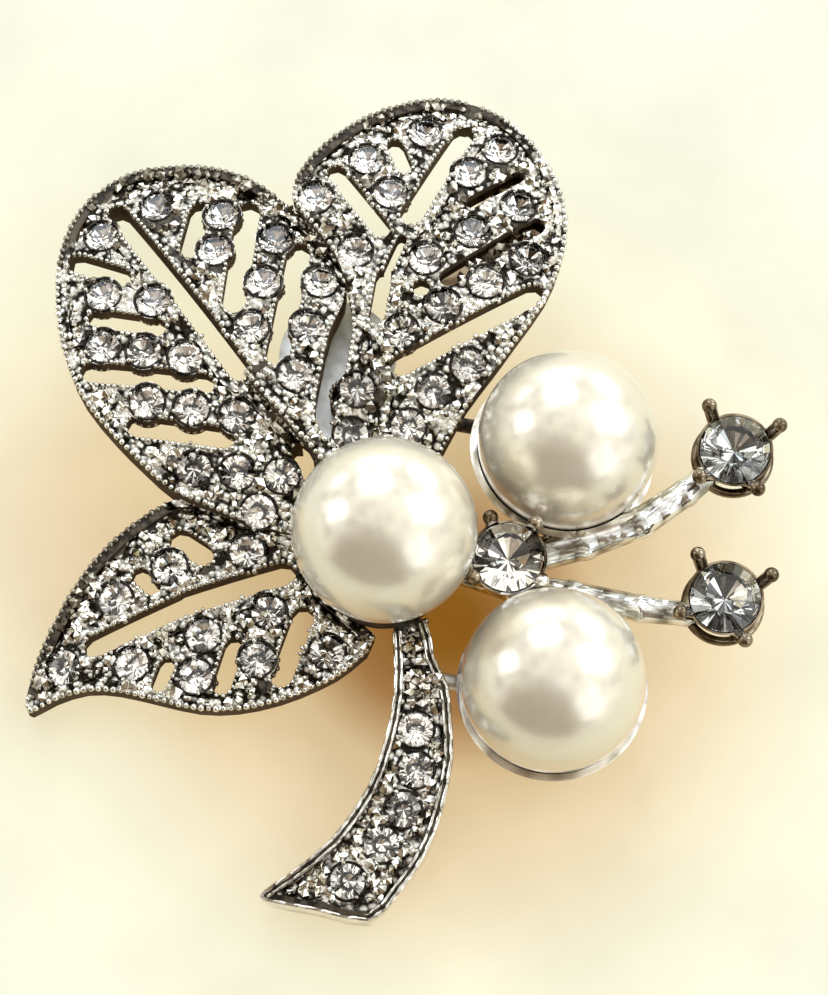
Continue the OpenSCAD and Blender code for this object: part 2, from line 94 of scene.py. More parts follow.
camera_data = bpy.data.cameras.new("photo_camera")
camera_data.sensor_fit = "VERTICAL"
camera_data.sensor_height = SENSOR
camera_data.lens = PIXELS_PER_RADIAN / PICTURE_HEIGHT * SENSOR
camera_data.clip_start = 0.01
camera = new_object("photo_camera", camera_data)
camera.location = AIM + DISTANCE * TO_CAMERA
camera.rotation_euler = (math.pi / 2 - LIFT, 0, 0)
bpy.context.scene.camera = camera
print("camera at", [round(v, 3) for v in camera.location], "lens", round(camera_data.lens, 1), "mm")

# %% [markdown]
# ## Helpers for the finishes
# Every finish is a small tree of nodes. A helper adds a node and sets its sockets, so each
# material below reads as a short list of what it is made of. Every pattern lies in the object's
# own coordinates, in metres from the frame's origin.

# %% Node helpers
def add_node(tree, kind, inputs=None, **settings):
    node = tree.nodes.new(kind)
    for key, value in settings.items():
        setattr(node, key, value)
    for socket, source in (inputs or {}).items():
        if isinstance(source, bpy.types.NodeSocket):
            tree.links.new(source, node.inputs[socket])
        else:
            node.inputs[socket].default_value = source
    return node


def finish(name):
    material = bpy.data.materials.new(name)
    material.use_nodes = True
    tree = material.node_tree
    tree.nodes.clear()
    return material, tree, add_node(tree, "ShaderNodeTexCoord").outputs["Object"]


def speckle(tree, place, scale, detail):
    sockets = {"Vector": place, "Scale": scale, "Detail": detail}
    return add_node(tree, "ShaderNodeTexNoise", sockets).outputs["Fac"]


def spread(tree, value, start, end, low=0.0, high=1.0, **settings):
    sockets = {"Value": value, "From Min": start, "From Max": end, "To Min": low, "To Max": high}
    return add_node(tree, "ShaderNodeMapRange", sockets, **settings).outputs["Result"]


def ramp(tree, source, stops):
    node = add_node(tree, "ShaderNodeValToRGB", {"Fac": source})
    bands = node.color_ramp.elements
    while len(bands) < len(stops):
        bands.new(0.5)
    for band, (share, colour) in zip(bands, stops):
        band.position = share
        band.color = (*colour, 1)
    return node.outputs["Color"]


def surface_of(tree, sockets):
    shader = add_node(tree, "ShaderNodeBsdfPrincipled", sockets)
    add_node(tree, "ShaderNodeOutputMaterial", {"Surface": shader.outputs[0]})

# %% [markdown]
# ## Plated metal
# The casting is white metal with a bright rhodium-like plate. On the real brooch it is never one
# grey: polished high spots mirror the windows, the granular ground between the stones breaks
# them up, and the pits between grains are dark, partly grime and partly painted shade. A cell
# pattern drives both the bump and the dark pits, at the size of the real grains, about half a
# millimetre.

# %% Metal finish
METALS = {  # colour, its pits, grain and depth in mm, roughness, share of pits, skin, plate
    "granular_ground": ((0.66, 0.63, 0.55), (0.015, 0.012, 0.008), 0.6, 0.24, 0.12, 0.6, 0.12, 1.0),
    "channel_ground": ((0.70, 0.68, 0.62), (0.02, 0.016, 0.012), 0.6, 0.18, 0.16, 0.48, 0.12, 1.0),
    "cast_grain": ((0.96, 0.95, 0.90), (0.45, 0.42, 0.34), 0.6, 0.006, 0.06, 0.25, 0.25, 1.0),
    # Dark brown and unplated: painted shade on the leaves' walls.
    "painted_shade_wall": ((0.11, 0.08, 0.05), (0.085, 0.063, 0.04), 0.9, 0.02, 0.5, 0.5, 0.25, 0.0),
    "polished_plate": ((0.92, 0.91, 0.88), (0.5, 0.46, 0.4), 1.4, 0.008, 0.06, 0.2, 0.1, 1.0),
    "hammered_plate": ((0.84, 0.85, 0.83), (0.30, 0.28, 0.24), 1.3, 0.25, 0.16, 0.35, 0.02, 1.0),
    # A darker copy of the grain: a painted dark reflection on the far rims.
    "painted_dark_grain": ((0.34, 0.31, 0.25), (0.15, 0.13, 0.10), 0.5, 0.006, 0.12, 0.2, 0.25, 1.0),
    "polished_grain": ((0.80, 0.78, 0.72), (0.4, 0.37, 0.3), 0.5, 0.006, 0.08, 0.2, 0.25, 1.0),
    # Near black: painted shade on the webs, the stem's rails and inner walls, and the far rims.
    "painted_shade_groove": ((0.08, 0.065, 0.045), (0.02, 0.016, 0.012), 0.5, 0.04, 0.3, 0.5, 0.25, 0.4),
    # Near black: painted shade in the seats round the stones.
    "painted_shade_seat": ((0.05, 0.042, 0.035), (0.02, 0.017, 0.014), 0.3, 0.01, 0.2, 0.5, 0.25, 1.0),
    "cast_back": ((0.60, 0.59, 0.56), (0.30, 0.28, 0.25), 0.8, 0.03, 0.32, 0.3, 0.25, 1.0),
    # Bronze painted dark: painted shade in sunken patches and under the buds, a painted dark
    # reflection on the claws.
    "worn_bronze_painted_dark": ((0.32, 0.26, 0.18), (0.10, 0.07, 0.04), 1.2, 0.004, 0.05, 0.4, 0.1, 1.0),
    "pin_strip": ((0.90, 0.93, 0.96), (0.7, 0.7, 0.7), 0.9, 0.004, 0.35, 0.3, 0.25, 1.0),
}


def metal(name, colour, pit_colour, grain, depth, roughness, pits, skin, plate):
    material, tree, place = finish(name)
    grain *= MM
    cells = {"Vector": place, "Scale": 1 / grain, "Randomness": 0.9}
    distance = add_node(tree, "ShaderNodeTexVoronoi", cells).outputs["Distance"]
    fine = speckle(tree, place, 3 / grain, 3.0)
    # The pits between the cells are darker: partly grime, partly painted shade.
    pitted = ramp(tree, distance, [(0.3, colour), (0.3 + 0.6 * (1 - pits), pit_colour)])
    worn = spread(tree, speckle(tree, place, 0.35 / grain, 4.0), 0.5, 0.62)
    tint = add_node(tree, "ShaderNodeMix", {"Factor": worn, "A": pitted, "B": (*colour, 1)},
                    data_type="RGBA")
    raised = add_node(tree, "ShaderNodeMath", {0: distance, 1: -1.0}, operation="MULTIPLY")
    height = add_node(tree, "ShaderNodeMath", {0: fine, 1: skin, 2: raised.outputs[0]},
                      operation="MULTIPLY_ADD")
    bump = add_node(tree, "ShaderNodeBump", {"Height": height.outputs[0], "Distance": depth * MM,
                                             "Strength": 1.0})
    surface_of(tree, {
        "Base Color": tint.outputs["Result"], "Metallic": plate,
        "Roughness": spread(tree, fine, 0.0, 1.0, 0.6 * roughness, 1.6 * roughness),
        "Specular IOR Level": 0.5 * plate, "Normal": bump.outputs["Normal"]})
    return material


metals = {name: metal(name, *row) for name, row in METALS.items()}
print("metal finishes:", ", ".join(metals))

# %% [markdown]
# ## Foiled stones
# A small stone is clear glass with a mirror of foil on its back, which makes white and black
# wedges round its table; some facets of the back are painted grey and some dark instead, as
# painted reflections. The body is one closed mesh: the crown is glass, and the faces of the
# pavilion are the mirror that the light meets from inside.

# %% Stone finishes
def glass(name, colour):
    material, tree, place = finish(name)
    film = speckle(tree, place, 900.0, 2.0)
    tint = ramp(tree, film, [(0.3, tuple(0.94 * part for part in colour)), (0.7, colour)])
    surface_of(tree, {"Base Color": tint, "Roughness": 0.0, "IOR": 1.56, "Transmission Weight": 1.0})
    return material


def foil_and_painted_reflection(name, colour, dark):
    material, tree, place = finish(name)
    tint = ramp(tree, speckle(tree, place, 700.0, 1.0), [(0.35, dark), (0.5, colour)])
    surface_of(tree, {"Base Color": tint, "Metallic": 1.0, "Roughness": 0.04})
    return material


# Of the three tones of the back, the bright one is foil and the grey and dark ones are painted
# reflections.
clear_stone = [glass("clear_crown", (1.0, 1.0, 1.0)),
               foil_and_painted_reflection("bright_foil", (1.0, 0.99, 0.96), (0.95, 0.94, 0.92)),
               foil_and_painted_reflection("grey_painted_reflection", (0.62, 0.61, 0.60), (0.5, 0.5, 0.5)),
               foil_and_painted_reflection("dark_painted_reflection", (0.12, 0.11, 0.10), (0.05, 0.05, 0.05))]
smoke_stone = [glass("smoky_crown", (0.86, 0.87, 0.86)),
               foil_and_painted_reflection("smoky_foil", (1.0, 1.0, 0.99), (0.9, 0.91, 0.9)),
               foil_and_painted_reflection("smoky_grey_painted_reflection", (0.36, 0.37, 0.36), (0.26, 0.27, 0.26)),
               foil_and_painted_reflection("smoky_dark_painted_reflection", (0.08, 0.08, 0.08), (0.04, 0.04, 0.04))]
print("a stone has", len(clear_stone), "finishes: its glass and three tones of foil")

# %% [markdown]
# ## Nacre
# The pearls are beads under many thin coats of pearl essence. Under the gloss the colour is a
# warm cream with faint lighter and darker clouds, and the coats mirror the windows softly.

# %% Pearl finish
pearl_finish, tree, place = finish("nacre")
cream = ramp(tree, speckle(tree, place, 260.0, 3.0), [
    (0.3, (0.72, 0.66, 0.54)), (0.55, (0.76, 0.70, 0.56)), (0.75, (0.79, 0.75, 0.65))])
pearl_bump = add_node(tree, "ShaderNodeBump", {
    "Height": speckle(tree, place, 2600.0, 2.0), "Distance": 0.004 * MM, "Strength": 0.6})
surface_of(tree, {
    "Base Color": cream, "Metallic": 0.55, "Roughness": 0.27, "IOR": 1.6, "Coat Weight": 0.6,
    "Coat Roughness": 0.15, "Coat IOR": 1.6, "Normal": pearl_bump.outputs["Normal"]})
print("the pearls' finish has", len(tree.nodes), "nodes")

# %% [markdown]
# ## Making a piece
# Each piece is a bmesh turned into one object that sits at the origin. It rides on the frame's
# only body. Small repeated shapes are made once as a pattern and stamped into the piece.

# %% Piece helpers
def mesh_of(bm, name):
    mesh = bpy.data.meshes.new(name)
    bm.to_mesh(mesh)
    bm.free()
    return mesh


def stamp(bm, pattern, matrix):
    copy = pattern.copy()
    copy.transform(matrix)
    bm.from_mesh(copy)
    bpy.data.meshes.remove(copy)


def piece(name, bm, materials, slot, instead_of=(), smooth=True, sharp_above=None):
    if sharp_above is not None:
        limit = math.radians(sharp_above)
        for edge in bm.edges:
            edge.smooth = len(edge.link_faces) == 2 and edge.calc_face_angle(0) < limit
    for face in bm.faces:
        face.smooth = smooth
    mesh = mesh_of(bm, name)
    for material in materials:
        mesh.materials.append(material)
    obj = new_object(name, mesh)
    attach(obj, "root")
    if instead_of:
        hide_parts(*instead_of)
    print(name, "has", len(mesh.polygons), "faces")
    return obj


def merged_copy(node):
    bm = bmesh.new()
    bm.from_mesh(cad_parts[node].data)
    bmesh.ops.remove_doubles(bm, verts=bm.verts, dist=1e-6)
    return bm

# %% [markdown]
# ## The casting
# The solids of the frame already have the pierced leaves, rails, cups and claws. A merged copy
# takes smooth shading, with edges kept sharp where the metal turns more than 35 degrees. Until
# its faces get their finishes, the copy is measured by rays.

# %% Casting
casting = merged_copy("leaf_spray")
bmesh.ops.recalc_face_normals(casting, faces=casting.faces)
casting.verts.index_update()
surface = BVHTree.FromBMesh(casting)
print("the casting has", len(casting.faces), "triangles")

# %% [markdown]
# ## Where the small stones sit
# A stone in the frame is a loose solid. The middle of its corners lies on its axis, and its
# lowest corner is its point, so the two give the stone's place and lean.

# %% Stone places
FIELDS = ("pave_left_leaf", "pave_top_leaf", "pave_low_leaf", "pave_stem")


def groups(items, neighbours):
    waiting = set(items)
    for first in items:
        if first not in waiting:
            continue
        waiting.discard(first)
        group, growing = [], [first]
        while growing:
            item = growing.pop()
            group.append(item)
            for other in neighbours(item):
                if other in waiting:
                    waiting.discard(other)
                    growing.append(other)
        yield group


def joined_corners(vert):
    return [edge.other_vert(vert) for edge in vert.link_edges]


def stone_seats(node):
    bm = merged_copy(node)
    found = []
    for part in groups(bm.verts, joined_corners):
        corners = [vert.co.copy() for vert in part]
        point = min(corners, key=lambda co: co.z)
        middle = sum(corners, Vector()) / len(corners)
        axis = (middle - point).normalized()
        high = max((co - point).dot(axis) for co in corners)
        wide = max(((co - point) - (co - point).dot(axis) * axis).length for co in corners)
        found.append((point, axis, high, wide))
    bm.free()
    found.sort(key=lambda seat: (round(seat[0].x, 5), round(seat[0].y, 5)))
    return found


seats = {node: stone_seats(node) for node in FIELDS}
for node, found in seats.items():
    print(node, "has", len(found), "stones,", round(2 * found[0][3] / MM, 2), "mm across")

# %% [markdown]
# ## Cutting a stone
# A stone starts as rings of points: the table, both edges of the girdle and the top of the
# pavilion, with one point below. Their convex hull is the stone, and coplanar triangles are
# dissolved to leave the real facets. Each facet of the back draws at random one of three tones:
# bright foil, a grey painted reflection and a dark painted reflection.

# %% Stone cutter
TABLE = 0.58
GIRDLE = 0.05
PAVILION_TOP = 0.96
CROWN_SHARE = 0.36
DEEP_SHARE = 1 - CROWN_SHARE
COPLANAR = math.radians(1.5)


def ring(bm, count, radius, height, turn=0):
    matrix = Matrix.Translation((0, 0, height)) @ Matrix.Rotation(turn, 4, "Z")
    return bmesh.ops.create_circle(bm, segments=count, radius=radius, matrix=matrix)["verts"]


def cut_stone(radius, high, sides, back_tones):
    crown, deep = CROWN_SHARE * high, DEEP_SHARE * high
    bm = bmesh.new()
    points = ring(bm, sides, TABLE * radius, crown)
    points += ring(bm, 2 * sides, radius, 0)
    points += ring(bm, 2 * sides, radius, -GIRDLE * radius)
    points += ring(bm, sides, PAVILION_TOP * radius, -GIRDLE * (deep + radius), math.pi / sides)
    points += bmesh.ops.create_vert(bm, co=(0, 0, -deep))["vert"]
    hull = bmesh.ops.convex_hull(bm, input=points)
    spare = [item for item in hull["geom_interior"] + hull["geom_unused"]
             if isinstance(item, bmesh.types.BMVert)]
    if spare:
        bmesh.ops.delete(bm, geom=spare, context="VERTS")
    bmesh.ops.dissolve_limit(bm, angle_limit=COPLANAR, verts=bm.verts, edges=bm.edges)
    bmesh.ops.recalc_face_normals(bm, faces=bm.faces)
    for face in bm.faces:
        # The back's facets draw at random bright foil and grey and dark painted reflections.
        face.material_index = dice.choice(back_tones) if face.normal.z < -0.1 else 0
    return mesh_of(bm, "stone_pattern")


def upright(point, axis):
    return Matrix.Translation(point) @ axis.to_track_quat("Z", "Y").to_matrix().to_4x4()

# %% [markdown]
# ## Small stones
# Each field of the frame becomes one piece. The stones keep the frame's place, lean and size, a
# hair smaller, and each is turned by chance about its own axis.

# %% Small stones
dice = random.Random(7)
# Tone 1 is bright foil; tones 2 and 3 are grey and dark painted reflections.
BACK_TONE_MIX = (1, 1, 1, 1, 1, 2, 3)
HAIR = 0.005 * MM
for node in FIELDS:
    bm = bmesh.new()
    for point, axis, high, wide in seats[node]:
        pattern = cut_stone(wide - HAIR, high, 8, BACK_TONE_MIX)
        turn = Matrix.Rotation(dice.uniform(0, math.pi / 4), 4, "Z")
        stamp(bm, pattern, upright(point + DEEP_SHARE * high * axis, axis) @ turn)
    piece("stones_" + node[5:], bm, clear_stone, "clear_stone", [node], smooth=False)

# %% [markdown]
# ## The three claw stones
# These are larger, so their crown has more facets, and the two buds are a smoky glass.

# %% Claw stones
# The mix draws bright foil and grey and dark painted reflections.
CLAW_STONES = {  # slot, finishes, sides, mix of foils
    "stone_middle": ("clear_stone", clear_stone, 10, (1, 1, 1, 1, 3)),
    "bud_stone_upper": ("smoke_stone", smoke_stone, 12, (1, 1, 2, 2, 3)),
    "bud_stone_lower": ("smoke_stone", smoke_stone, 12, (1, 1, 2, 2, 3)),
}
CLAW_GAP = 0.02 * MM
CLAW_TURN = Matrix.Rotation(0.2, 4, "Z")
claw_places = {}
for node, (slot, stone, sides, back_tones) in CLAW_STONES.items():
    point, axis, high, wide = stone_seats(node)[0]
    claw_places[node] = point
    bm = bmesh.new()
    pattern = cut_stone(wide - CLAW_GAP, high, sides, back_tones)
    stamp(bm, pattern, upright(point + DEEP_SHARE * high * axis, axis) @ CLAW_TURN)
    piece("cut_" + node, bm, stone, slot, [node], smooth=False)

# %% [markdown]
# ## Pearls
# A glued pearl is round to a few hundredths of a millimetre, with a drilled peg hole hidden
# underneath. It starts as an icosphere, which has no poles, and the foot is pressed in.

# %% Pearls
PEG_HOLE = 0.9 * MM
PEG_DEEP = 0.5 * MM
pearl_places = []
for node in ("pearl_middle", "pearl_upper", "pearl_lower"):
    low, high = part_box(node)
    middle = (Vector(low) + Vector(high)) / 2
    radius = (high[0] - low[0]) / 2
    pearl_places.append((middle, radius))
    bm = bmesh.new()
    bmesh.ops.create_icosphere(bm, subdivisions=5, radius=radius, matrix=Matrix.Translation(middle))
    for vert in bm.verts:
        away = Vector((vert.co.x - middle.x, vert.co.y - middle.y, 0)).length
        if vert.co.z < middle.z and away < PEG_HOLE:
            vert.co.z += PEG_DEEP * (1 - away / PEG_HOLE)
    piece("glossy_" + node, bm, [pearl_finish], "pearl", [node])

# %% [markdown]
# ## Lines of the rims
# The leaves' edges carry a row of tiny beads, known as milgrain. The row follows the edges where
# a nearly level face meets a tall wall, so those edges are collected from the copy of the
# casting, chained into lines and stepped along at a pitch.

# %% Rim lines
TALL_WALL = 0.9 * MM
TOP_FACING, WALL_FACING = 0.7, 0.2
outward = {}


def is_rim(edge):
    if len(edge.link_faces) != 2:
        return False
    top, wall = sorted(edge.link_faces, key=lambda face: -face.normal.z)
    heights = [vert.co.z for vert in wall.verts]
    if top.normal.z <= TOP_FACING or abs(wall.normal.z) >= WALL_FACING:
        return False
    if max(heights) - min(heights) <= TALL_WALL:
        return False
    for vert in edge.verts:
        outward[tuple(vert.co)] = Vector((wall.normal.x, wall.normal.y, 0)).normalized()
    return True


def rim_lines(bm):
    found = [edge for edge in bm.edges if is_rim(edge)]
    waiting = set(found)
    lines = []
    for edge in found:
        if edge not in waiting:
            continue
        waiting.discard(edge)
        line = list(edge.verts)
        for at_end in (True, False):
            growing = True
            while growing:
                tip = line[-1] if at_end else line[0]
                growing = next((e for e in tip.link_edges if e in waiting), None)
                if growing:
                    waiting.discard(growing)
                    other = growing.other_vert(tip)
                    line = line + [other] if at_end else [other] + line
        lines.append([vert.co.copy() for vert in line])
    return lines


def stepped(line, pitch):
    total = sum((b - a).length for a, b in zip(line, line[1:]))
    count = max(1, round(total / pitch))
    steps, walked, aim = [], 0.0, 0.0
    for a, b in zip(line, line[1:]):
        span = (b - a).length
        while aim <= walked + span + 1e-9 and len(steps) < count:
            steps.append(a.lerp(b, min(1, max(0, (aim - walked) / span)) if span else 0))
            aim += total / count
        walked += span
    return steps


lines = rim_lines(casting)
spots = [spot for line in lines for spot in stepped(line, 0.1 * MM)]
print(len(lines), "rim lines with", len(spots), "spots")

# %% [markdown]
# ## Regions of the brooch
# Beads, grains and finishes depend on where they are. The stem, the stalks and the webs are told
# from the leaves by boxes round the heart, seen from above.

# %% Regions
REGIONS = {  # left, right, near and far side, in mm from the heart; 99 leaves a side open
    "stem": (-0.3, 99, -99, -4.4),
    "stem foot": (-99, 99, -99, -10.4),
    "buds": (5.7, 99, -99, 12.6),
    "stalks": (4.8, 99, -6.4, 11.6),
    "lower web": (3.7, 5.6, -9.5, -7),
    "upper web": (4.2, 6.2, 8.5, 10.5),
}
PEARL_SHARES = (0.85, 1.12, 1.12)


def level(co):
    return Vector((co.x, co.y, 0))


def within(spot, region):
    left, right, near, far = REGIONS[region]
    across, ahead = (spot.x - heart.x) / MM, (spot.y - heart.y) / MM
    return left < across < right and near < ahead < far


def on_stem(spot):
    return within(spot, "stem") or within(spot, "stem foot")


def in_leaf(spot):
    near_pearl = any((level(spot) - level(middle)).length < share * radius
                     for (middle, radius), share in zip(pearl_places, PEARL_SHARES))
    return not near_pearl and not within(spot, "buds") and not on_stem(spot)


print(sum(in_leaf(spot) for spot in spots), "of the spots are in the leaves")

# %% [markdown]
# ## What a spot lies next to
# A rim spot is on a slot when a ray outward from its wall meets the casting again. Trees of
# places tell which way the nearest wall looks and how far the nearest stone is.

# %% Measures of a spot
SLOT_WIDTH = 2.4 * MM
PROBE_BELOW, PROBE_OUT = 0.35 * MM, 0.08 * MM
FAR_SIDE = Vector((-0.35, 0.94, 0))
FAR_REACH, FAR_FACING = 1.1 * MM, 0.45
STONE_LEVEL = 0.7  # of a stone's height, near its girdle


def tree_of(places):
    kd = KDTree(len(places))
    for number, co in enumerate(places):
        kd.insert(co, number)
    kd.balance()
    return kd


outward_tree = tree_of(list(outward))
outward_ways = list(outward.values())
stone_tree = tree_of([point + STONE_LEVEL * high * axis
                      for found in seats.values() for point, axis, high, wide in found])


def wall_way(spot):
    return outward_ways[outward_tree.find(spot)[1]]


def on_slot(spot):
    way = wall_way(spot)
    start = spot - Vector((0, 0, PROBE_BELOW)) + PROBE_OUT * way
    return surface.ray_cast(start, way, SLOT_WIDTH)[0] is not None


def stone_distance(spot):
    return stone_tree.find(spot)[2]


def far_rim(spot):
    co, number, away = outward_tree.find(spot)
    faces_back = outward_ways[number].dot(FAR_SIDE) > FAR_FACING
    return away < FAR_REACH and faces_back and not on_slot(co)


print(sum(on_slot(spot) for spot in spots), "of the spots are on slots")

# %% [markdown]
# ## Beads of the rims
# The beads are round on the real casting, a little uneven, and smaller along the slots. On the
# far side of each leaf they are painted dark, a painted dark reflection, so those are a piece of
# their own.

# %% Rim beads
def bead(radius, around=8, rings=6):
    bm = bmesh.new()
    bmesh.ops.create_uvsphere(bm, u_segments=around, v_segments=rings, radius=radius)
    return mesh_of(bm, "bead_pattern")


BEAD_STEP = 0.05 * MM
BEAD_INSET = 0.1 * MM
BEADS_CLEAR = 1.42 * MM
BEAD_ROWS = {  # on a slot or not: steps from bead to bead, least distance, pattern
    False: (10, 0.42 * MM, bead(0.23 * MM)),
    True: (8, 0.34 * MM, bead(0.18 * MM, 7, 5)),
}
dice = random.Random(11)
rim_beads, slot_beads, far_beads = bmesh.new(), bmesh.new(), bmesh.new()
bead_spots = []
for line in lines:
    steps = 0
    for spot in stepped(line, BEAD_STEP):
        steps += 1
        slot = on_slot(spot)
        least_steps, apart, pattern = BEAD_ROWS[slot]
        if steps < least_steps or not in_leaf(spot) or stone_distance(spot) < BEADS_CLEAR:
            continue
        if any((spot - other).length < apart for other in bead_spots[-12:]):
            continue
        steps = 0
        bead_spots.append(spot)
        middle = spot - BEAD_INSET * wall_way(spot)
        # Beads by the far rims go to the darker piece: a painted dark reflection.
        stamp(slot_beads if slot else far_beads if far_rim(spot) else rim_beads, pattern,
              Matrix.Translation(middle) @ Matrix.Scale(dice.uniform(0.8, 1.12), 4))
bead_tree = tree_of(bead_spots)
piece("rim_beads", rim_beads, [metals["polished_grain"]], "plated_metal")
piece("slot_beads", slot_beads, [metals["polished_grain"]], "plated_metal")
piece("far_beads", far_beads, [metals["painted_dark_grain"]], "plated_metal")

# %% [markdown]
# ## Feeling for the metal
# A ray from overhead finds how high the casting is. Five rays round a spot tell whether it is
# level there, and pairs of rays on opposite sides tell whether it lies in a sunken groove.

# %% Rays from overhead
OVERHEAD = 0.03
FEELERS = ((0, 0), (0.16, 0), (-0.16, 0), (0, 0.16), (0, -0.16))  # in mm
LEVEL_FACING = 0.75
LEVEL_RISE = 0.4 * MM
GROOVE_REACH = 1.0 * MM
GROOVE_DEEP = 0.45 * MM


def drop(x, y):
    where, normal, index, far = surface.ray_cast(Vector((x, y, OVERHEAD)), Vector((0, 0, -1)))
    return where, normal


def level_spot(x, y):
    hits = []
    for dx, dy in FEELERS:
        where, normal = drop(x + dx * MM, y + dy * MM)
        if where is None or normal.z < LEVEL_FACING:
            return None
        hits.append(where)
    rise = max(hit.z for hit in hits) - min(hit.z for hit in hits)
    return max(hits, key=lambda hit: hit.z) if rise < LEVEL_RISE else None


def height_at(x, y):
    where = drop(x, y)[0]
    return where.z if where else -1


def sunken(spot):
    for turn in range(4):
        angle = turn * math.pi / 4
        side = GROOVE_REACH * Vector((math.cos(angle), math.sin(angle), 0))
        if all(height_at(*(spot + way).xy) > spot.z + GROOVE_DEEP for way in (side, -side)):
            return True
    return False


print("under the middle pearl the metal is", round(height_at(heart.x, heart.y) / MM, 1), "mm high")

# %% [markdown]
# ## One grain
# A cast grain is a small lump of no set shape. Eight are made from a coarse ball pushed in and
# out by noise, and each spot takes one of them, tumbled at random.

# %% Grain patterns
def lump(radius, seed):
    bm = bmesh.new()
    bmesh.ops.create_icosphere(bm, subdivisions=1, radius=radius)
    for vert in bm.verts:
        vert.co *= 1 + 0.6 * noise.noise(vert.co / (0.7 * radius) + Vector((seed, 0, 0)))
    return mesh_of(bm, "lump_pattern")


def jitter(reach):
    return dice.uniform(-reach, reach)


def tumbled():
    spun = Matrix.Rotation(dice.uniform(0, math.tau), 4, "Z")
    return spun @ Matrix.Rotation(dice.uniform(0, 3), 4, "X")


lumps = [lump(0.37 * MM, 7.3 * k) for k in range(8)]
print(len(lumps), "grains of", len(lumps[0].polygons), "faces")

# %% [markdown]
# ## Grains on the ground
# Between the stones the casting is covered with small raised grains, which catch the light as
# white sparks. They are strewn on a jittered grid, and a spot is dropped where the metal isn't
# level, where a stone or a bead is close, or where a patch was left bare.

# %% Ground grains
PITCH = 0.64 * MM
ROW_STEP = 0.87 * PITCH
STRAY = 0.3
LEAVES_END = 11 * MM
LEAST_HEIGHT = 1.0 * MM
GRAINS_CLEAR = 1.45 * MM
BEADS_ROOM = 0.5 * MM
BARE_PATCH = 2.6 * MM
grains, far_grains = bmesh.new(), bmesh.new()
low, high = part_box("leaf_spray")
row, y = 0, low[1]
while y < high[1]:
    x = low[0] + (row % 2) * PITCH / 2
    while x < LEAVES_END:
        spot = level_spot(x + jitter(STRAY) * PITCH, y + jitter(STRAY) * PITCH)
        if spot and in_leaf(spot) and spot.z > LEAST_HEIGHT and stone_distance(spot) > GRAINS_CLEAR:
            size = dice.uniform(0.6, 1.35)
            bare = noise.noise(spot / BARE_PATCH) < -0.1 and dice.random() < 0.75
            if not bare and bead_tree.find(spot)[2] > BEADS_ROOM and not sunken(spot):
                turn = tumbled()
                # Grains by the far rims take the darker finish: a painted dark reflection.
                stamp(far_grains if far_rim(spot) else grains, dice.choice(lumps),
                      Matrix.Translation(spot) @ turn @ Matrix.Scale(size, 4))
        x += PITCH
    y += ROW_STEP
    row += 1
piece("ground_grains", grains, [metals["cast_grain"]], "plated_metal", smooth=False)
piece("far_grains", far_grains, [metals["painted_dark_grain"]], "plated_metal", smooth=False)

# %% [markdown]
# ## Seats and prongs
# Round each stone runs a seat, painted dark as the shade in the gap round the stone, with four
# raised prongs that were pushed over its edge.
# The seat is a round wire spun about the stone's axis.

# %% Seats and prongs
def collar(radius, wall, around=6, steps=24):
    bm = bmesh.new()
    matrix = Matrix.Translation((radius, 0, 0)) @ Matrix.Rotation(math.pi / 2, 4, "X")
    profile = bmesh.ops.create_circle(bm, segments=around, radius=wall, matrix=matrix)
    bmesh.ops.spin(bm, geom=profile["verts"] + bm.edges[:], cent=(0, 0, 0), axis=(0, 0, 1),
                   dvec=(0, 0, 0), angle=2 * math.pi, steps=steps, use_merge=True)
    bmesh.ops.remove_doubles(bm, verts=bm.verts, dist=1e-7)
    bmesh.ops.recalc_face_normals(bm, faces=bm.faces)
    return mesh_of(bm, "collar_pattern")


SEAT_HEIGHT = 0.66
SEAT_WIRE = 0.1 * MM
PRONG_OUT, PRONG_UP = 0.05 * MM, 0.16 * MM
collars, prongs = bmesh.new(), bmesh.new()
prong_pattern = bead(0.18 * MM)
for found in seats.values():
    for point, axis, high, wide in found:
        girdle = upright(point + SEAT_HEIGHT * high * axis, axis)
        stamp(collars, collar(wide + SEAT_WIRE, SEAT_WIRE), girdle)
        for turn in range(4):
            angle = math.pi / 4 + turn * math.pi / 2 + jitter(0.3)
            out = Matrix.Rotation(angle, 4, "Z") @ Vector((wide + PRONG_OUT, 0, PRONG_UP))
            stamp(prongs, prong_pattern,
                  girdle @ Matrix.Translation(out) @ Matrix.Scale(dice.uniform(0.8, 1.1), 4))
# The seats are painted dark: painted shade round each stone.
piece("stone_collars", collars, [metals["painted_shade_seat"]], "plated_metal")
piece("stone_prongs", prongs, [metals["polished_grain"]], "plated_metal")

# %% [markdown]
# ## Rings under the buds
# Under each bud a round ring joins the feet of the four claws, as in a basket setting. The frame
# has the claws, and the ring is thin enough to be added here.

# %% Rings under the buds
BASKET_DROP = Vector((0, 0, 0.25 * MM))
baskets = bmesh.new()
ring_pattern = collar(2.45 * MM, 0.32 * MM, 10, 48)
for node in ("bud_stone_upper", "bud_stone_lower"):
    stamp(baskets, ring_pattern, Matrix.Translation(claw_places[node] - BASKET_DROP))
# The ring under each bud is painted dark bronze: painted shade under the bud.
piece("bud_baskets", baskets, [metals["worn_bronze_painted_dark"]], "plated_metal")

# %% [markdown]
# ## Drawing a wire along a rim
# A thin ridge is a round wire, drawn as a bevelled curve and turned into a mesh. It follows the
# runs of a rim line that are wanted. Short gaps, where a web joins the rail, are bridged.

